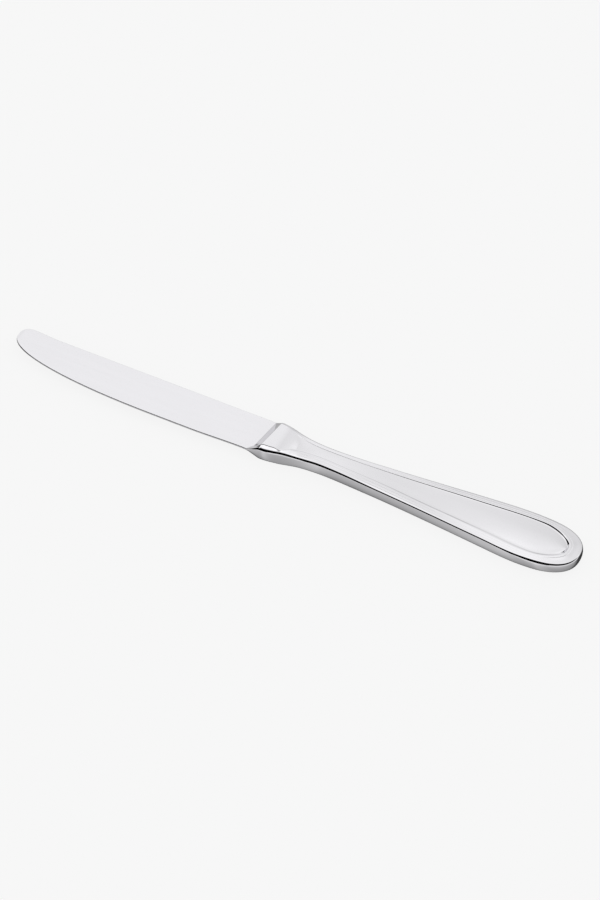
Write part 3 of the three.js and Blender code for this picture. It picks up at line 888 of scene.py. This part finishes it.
# A low panel of cloth past the butt's end, which the knife mirrors when it is seen from behind
LOW_PANEL_HEIGHT = [(0.0, 0.0), (0.03, 0.75), (0.16, 0.75), (0.19, 0.0)]
LOW_PANEL_ALONG = [(0.2, 0.0), (0.24, 1.0)]


def graded(tree, value, reach, steps):
    """A grey that follows the steps of place and light, over a value from minus the reach to the reach."""
    span = add_node(tree, "ShaderNodeMapRange", From_Min=-reach, From_Max=reach)
    tree.links.new(value, span.inputs["Value"])
    ramp = add_node(tree, "ShaderNodeValToRGB")
    tree.links.new(span.outputs["Result"], ramp.inputs["Fac"])
    stops = ramp.color_ramp.elements
    while len(stops) > 1:
        stops.remove(stops[-1])
    for i, (place, light) in enumerate(steps):
        stop = stops[0] if i == 0 else stops.new(1.0)
        stop.position = (place + reach) / (2 * reach)
        stop.color = (light, light, light, 1.0)
    return ramp.outputs["Color"]


def blended(tree, share, first, second):
    node = add_node(tree, "ShaderNodeMix", data_type="RGBA")
    tree.links.new(share, node.inputs["Factor"])
    tree.links.new(first, node.inputs["A"])
    tree.links.new(second, node.inputs["B"])
    return node.outputs["Result"]


def combined(tree, way, first, second):
    """Two greys put together by one of the ways of the mix node."""
    node = add_node(tree, "ShaderNodeMix", data_type="RGBA", blend_type=way)
    node.inputs["Factor"].default_value = 1.0
    tree.links.new(first, node.inputs["A"])
    tree.links.new(second, node.inputs["B"])
    return node.outputs["Result"]


def measured(tree, place, direction):
    """How far a place lies in a direction."""
    node = add_node(tree, "ShaderNodeVectorMath", operation="DOT_PRODUCT")
    node.inputs[1].default_value = direction
    tree.links.new(place, node.inputs[0])
    return node.outputs["Value"]


def degrees_round(tree, near, height):
    """Degrees from straight up, as plus towards the camera's side."""
    angle = add_node(tree, "ShaderNodeMath", operation="ARCTAN2")
    tree.links.new(near, angle.inputs[0])
    tree.links.new(height, angle.inputs[1])
    degrees = add_node(tree, "ShaderNodeMath", operation="MULTIPLY")
    degrees.inputs[1].default_value = HALF_TURN / math.pi
    tree.links.new(angle.outputs["Value"], degrees.inputs[0])
    return degrees.outputs["Value"]


def tent_cloth():
    """White at the far side and overhead, dark above the camera's side, white at the skirt, grey below:
    painted shade that stands for the floor darkened round the knife.
    """
    material = bpy.data.materials.new("light_tent")
    material.use_nodes = True
    cloth = material.node_tree
    cloth.nodes.clear()
    place = add_node(cloth, "ShaderNodeTexCoord").outputs["Object"]
    split = add_node(cloth, "ShaderNodeSeparateXYZ")
    cloth.links.new(place, split.inputs["Vector"])
    measures = {"along": split.outputs["X"], "across": split.outputs["Y"], "height": split.outputs["Z"]}
    measures["near"] = measured(cloth, place, NEARWARDS)
    measures["right"] = measured(cloth, place, RIGHTWARDS)
    turn = degrees_round(cloth, measures["near"], measures["height"])

    def over(measure, steps):
        return graded(cloth, measures[measure], TENT_RADIUS, steps)

    def round_it(steps):
        return graded(cloth, turn, HALF_TURN, steps)

    far, top, near, low = [over("along", table) for table in (FAR_ALONG, TOP_ALONG, NEAR_ALONG, LOW_ALONG)]
    upper = blended(cloth, round_it(TOP_TO_NEAR), blended(cloth, round_it(FAR_TO_TOP), far, top), near)
    level = add_node(cloth, "ShaderNodeMapRange", From_Min=LOW_LEVEL, From_Max=HIGH_LEVEL)
    cloth.links.new(measures["height"], level.inputs["Value"])
    along = blended(cloth, level.outputs["Result"], low, upper)
    light = combined(cloth, "MULTIPLY", round_it(LOWER_BANDS + UPPER_BANDS), along)
    for gap in (LEFT_GAP, END_WALL_GAP):
        outside, *others = [over(measure, steps) for measure, steps in gap.items()]
        for other in others:
            outside = combined(cloth, "LIGHTEN", outside, other)
        light = combined(cloth, "MULTIPLY", light, outside)
    panel = combined(cloth, "MULTIPLY", over("height", LOW_PANEL_HEIGHT), over("along", LOW_PANEL_ALONG))
    light = combined(cloth, "LIGHTEN", light, panel)

    glow = add_node(cloth, "ShaderNodeEmission", Strength=1.0)
    cloth.links.new(light, glow.inputs["Color"])
    surface = add_node(cloth, "ShaderNodeOutputMaterial")
    cloth.links.new(glow.outputs["Emission"], surface.inputs["Surface"])
    return material


def light_tent():
    bpy.ops.object.select_all(action="DESELECT")
    bpy.ops.mesh.primitive_uv_sphere_add(segments=96, ring_count=48, radius=TENT_RADIUS)
    tent = bpy.context.object
    tent.name = "light_tent"
    bpy.ops.object.shade_smooth()
    tent.visible_camera = False
    tent.visible_diffuse = False
    tent.visible_shadow = False
    tent.visible_transmission = False
    tent.data.materials.append(tent_cloth())
    return tent


bpy.context.scene.camera = photo_camera()
floor = pale_floor()
studio_light()
tent = light_tent()
bpy.context.scene.view_settings.view_transform = "Standard"
